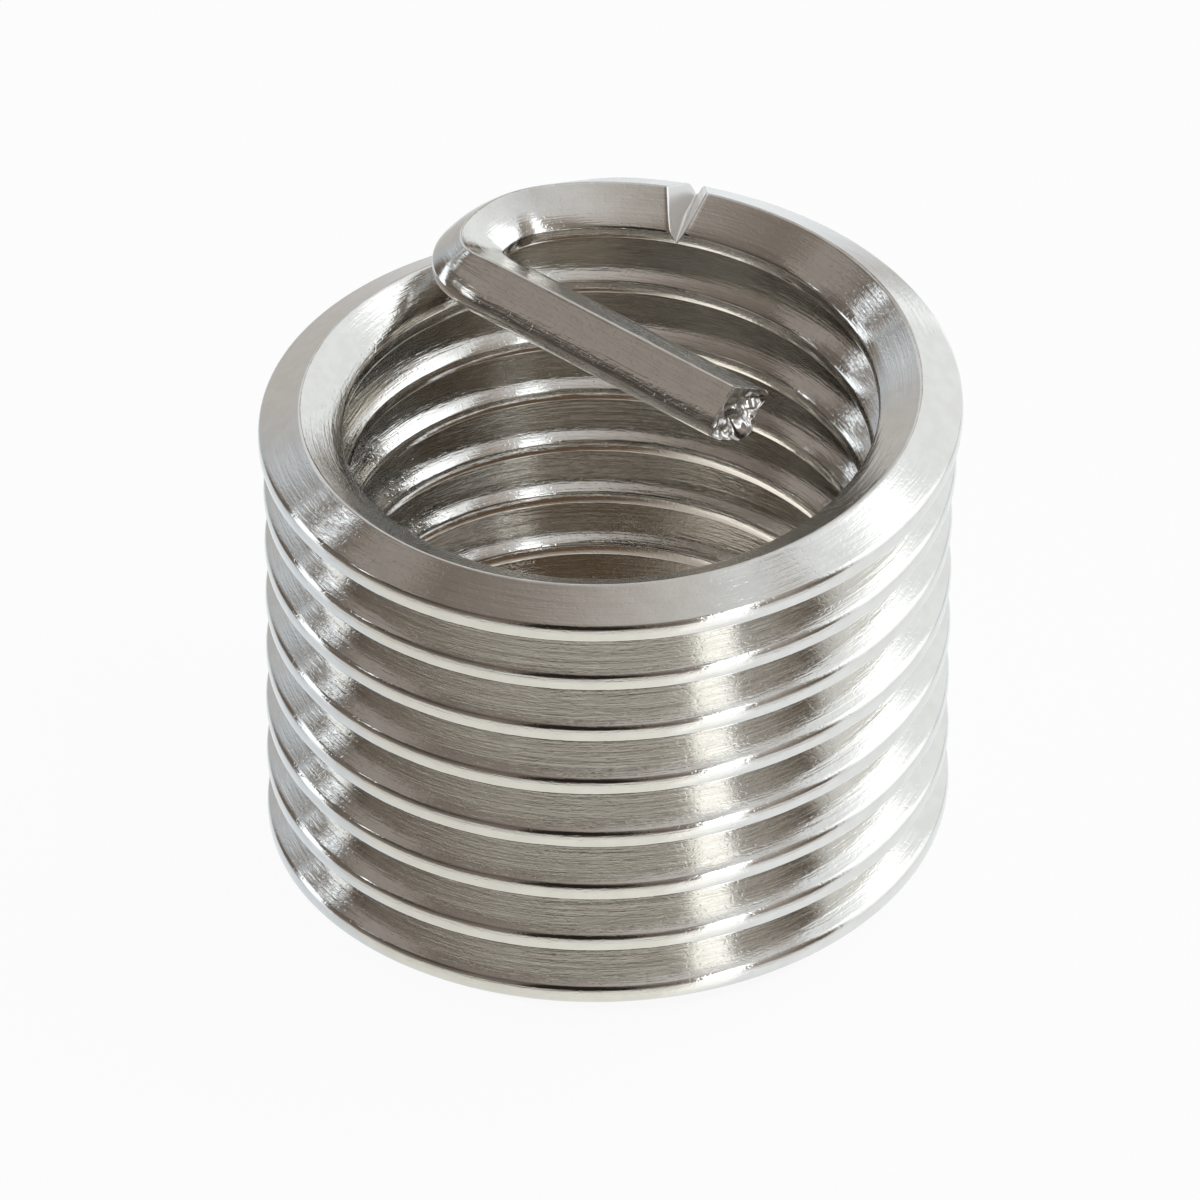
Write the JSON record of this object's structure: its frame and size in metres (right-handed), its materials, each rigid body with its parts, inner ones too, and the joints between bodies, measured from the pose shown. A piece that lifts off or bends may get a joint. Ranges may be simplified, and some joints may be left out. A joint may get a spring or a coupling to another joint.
{
  "type": "helical thread insert",
  "caption": "Coiled diamond-section wire insert that lines a tapped hole with a screw thread, with a driving tang bent across its bore.",
  "frame": {"origin": "on the coil axis, level with the lowest side corner of the wire's free end", "axes": "+Z along the coil axis from the free end to the tang; the tang points to +X and -Y"},
  "size_m": [0.0152, 0.0152, 0.0127],
  "materials": {
    "drawn_wire": "drawn bright stainless steel with fine lines along the wire"
  },
  "bodies": {
    "root": {"thread_insert": "drawn_wire"}
  },
  "joints": []
}
